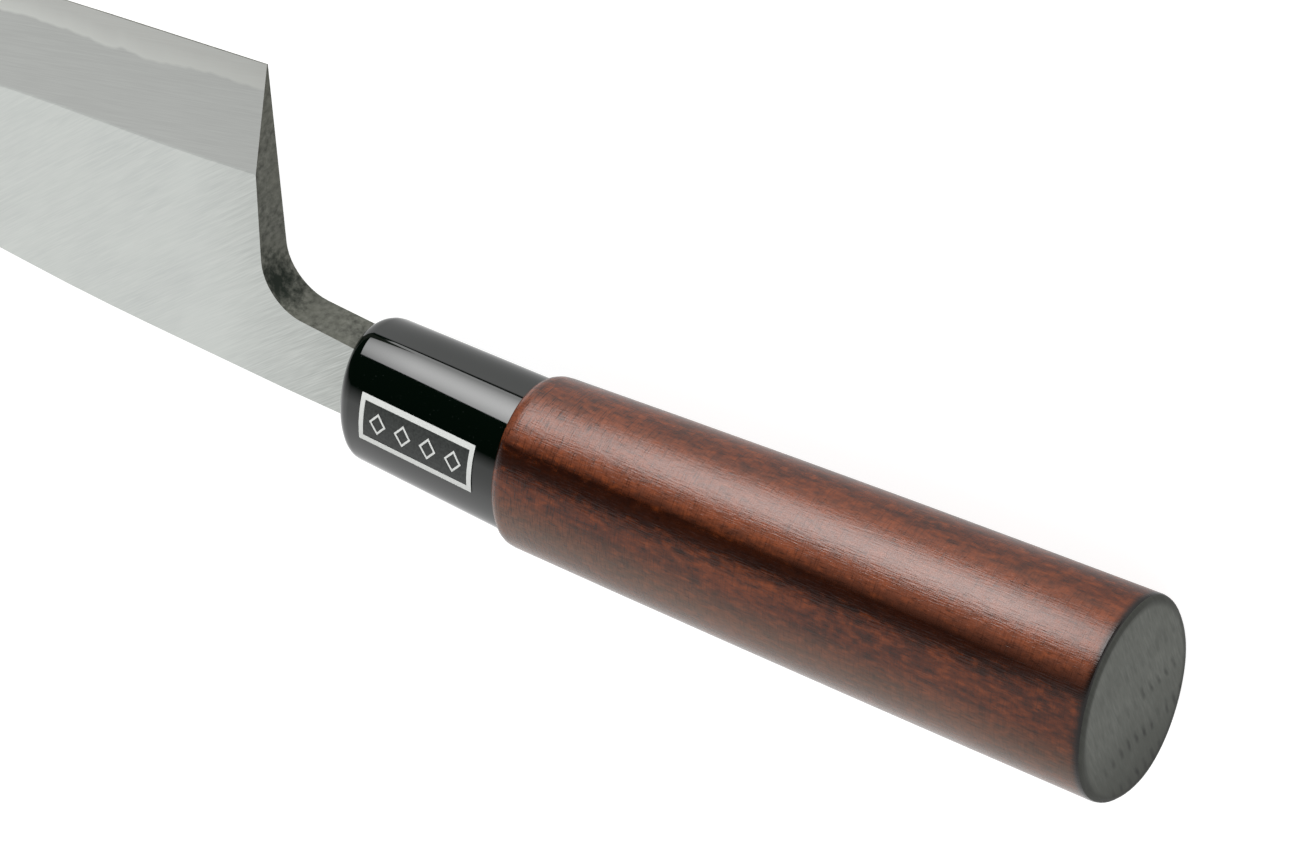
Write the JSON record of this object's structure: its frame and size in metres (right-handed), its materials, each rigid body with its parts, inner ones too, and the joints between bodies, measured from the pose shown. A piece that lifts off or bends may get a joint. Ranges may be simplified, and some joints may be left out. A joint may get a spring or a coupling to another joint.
{
  "type": "deba knife",
  "caption": "Heavy single bevel kitchen knife with a deep wedge blade, a curved heel and neck, a tapered oval wooden handle and a dark collar.",
  "frame": {"origin": "centre of the flat butt face, on the handle axis", "axes": "+X along the handle axis to the tip, +Y towards the spine, +Z towards the bevelled side, so the cutting edge faces -Y"},
  "size_m": [0.3011, 0.0585, 0.0243],
  "materials": {
    "soft_iron": "fine ground flats and bevel, dark forged scale on the choil and neck",
    "hard_steel": "fine ground, with a bright edge",
    "collar_plastic": "polished black",
    "stained_wood": "reddish brown stain under a semi-gloss lacquer, darker end grain",
    "cured_resin": "hidden dark resin"
  },
  "bodies": {
    "root": {"blade_soft_iron": "soft_iron", "blade_hard_steel": "hard_steel", "ferrule": "collar_plastic", "handle_wood": "stained_wood", "tang_bedding": "cured_resin"}
  },
  "joints": []
}
